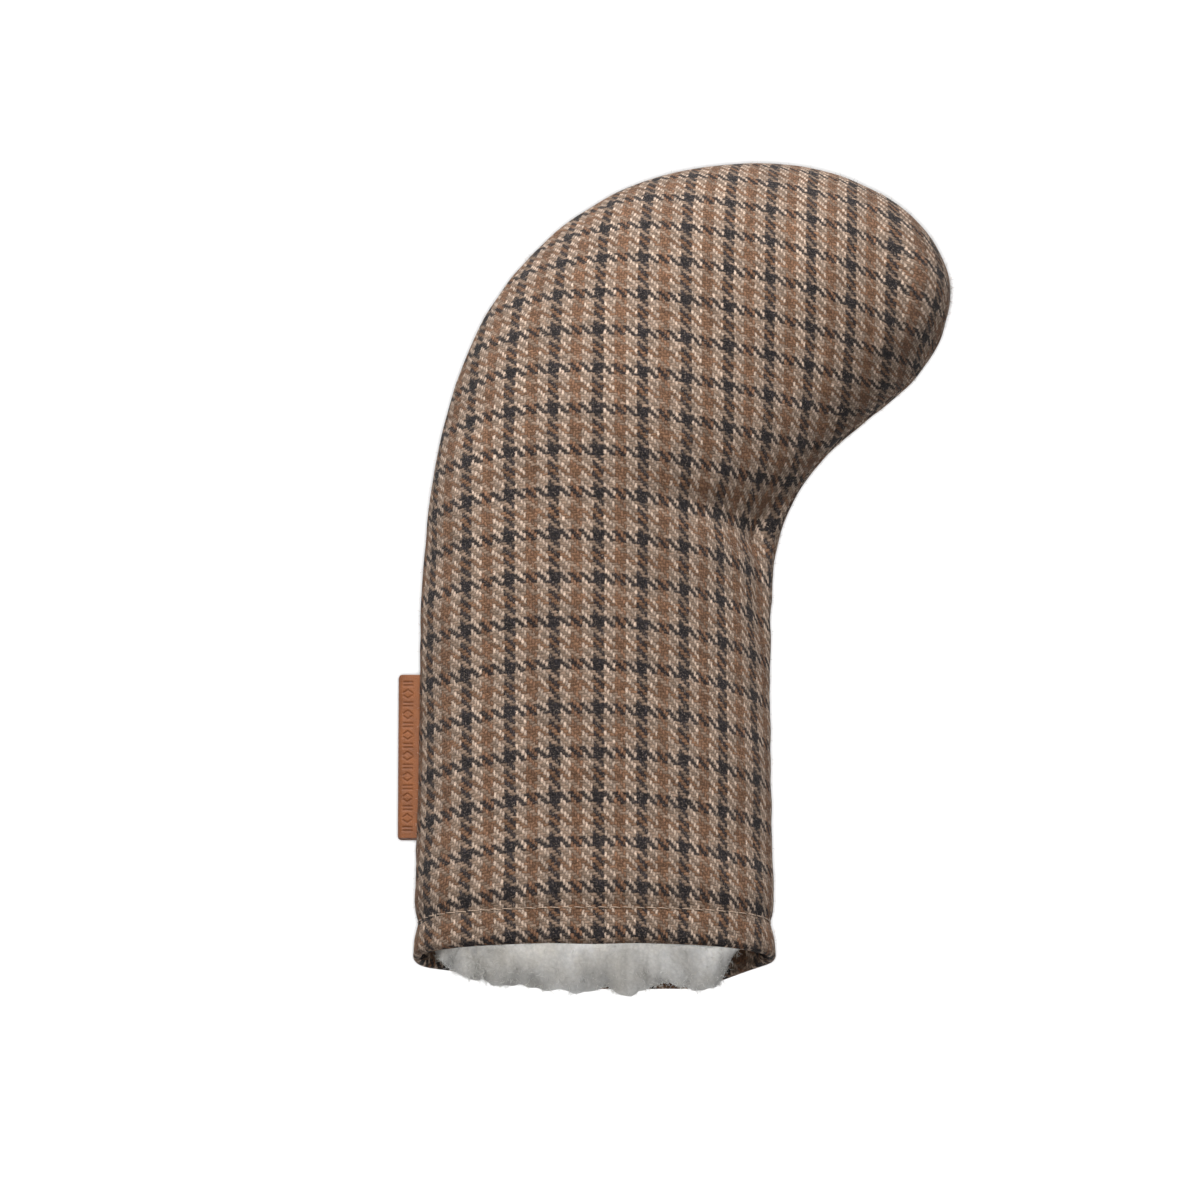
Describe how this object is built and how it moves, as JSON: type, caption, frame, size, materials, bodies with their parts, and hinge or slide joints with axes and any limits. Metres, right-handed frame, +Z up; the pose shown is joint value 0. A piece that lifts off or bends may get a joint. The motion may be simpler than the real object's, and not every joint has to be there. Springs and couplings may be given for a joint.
{
  "type": "putter head cover",
  "caption": "Sock-style golf putter head cover: two tweed panels sewn to a boot outline, wadded, fleece lined, with a topstitched hem and a folded leather side tag.",
  "frame": {"origin": "on the resting plane under the centre of the bounding box", "axes": "+X towards the toe of the bulb, +Y from the mouth to the closed end, +Z up from the resting back panel to the front panel"},
  "size_m": [0.1574, 0.2353, 0.053],
  "materials": {
    "tweed": "gun-club check wool tweed, 2/2 twill, matt",
    "wadding": "polyester wadding",
    "fleece": "off-white sherpa pile",
    "thread": "tan sewing thread",
    "leather": "smooth tan leather, satin"
  },
  "bodies": {
    "cover": {"shell_front": "tweed", "shell_back": "tweed", "padding_front": "wadding", "padding_back": "wadding", "lining_front": "fleece", "lining_back": "fleece", "closing_seam": "thread", "seam_allowance": "tweed", "lining_seam": "thread", "hem_topstitch": "thread", "tag_root": "leather", "tag_tack": "thread"},
    "tag": {"tag_flap": "leather"}
  },
  "joints": [
    {"name": "tag_bend", "type": "hinge", "parent": "cover", "child": "tag", "pos_m": [-0.07392, -0.05641, 0.022], "axis": [0, 1, 0], "range_deg": [-60, 60], "stiffness_Nm_per_rad": 0.004}
  ]
}
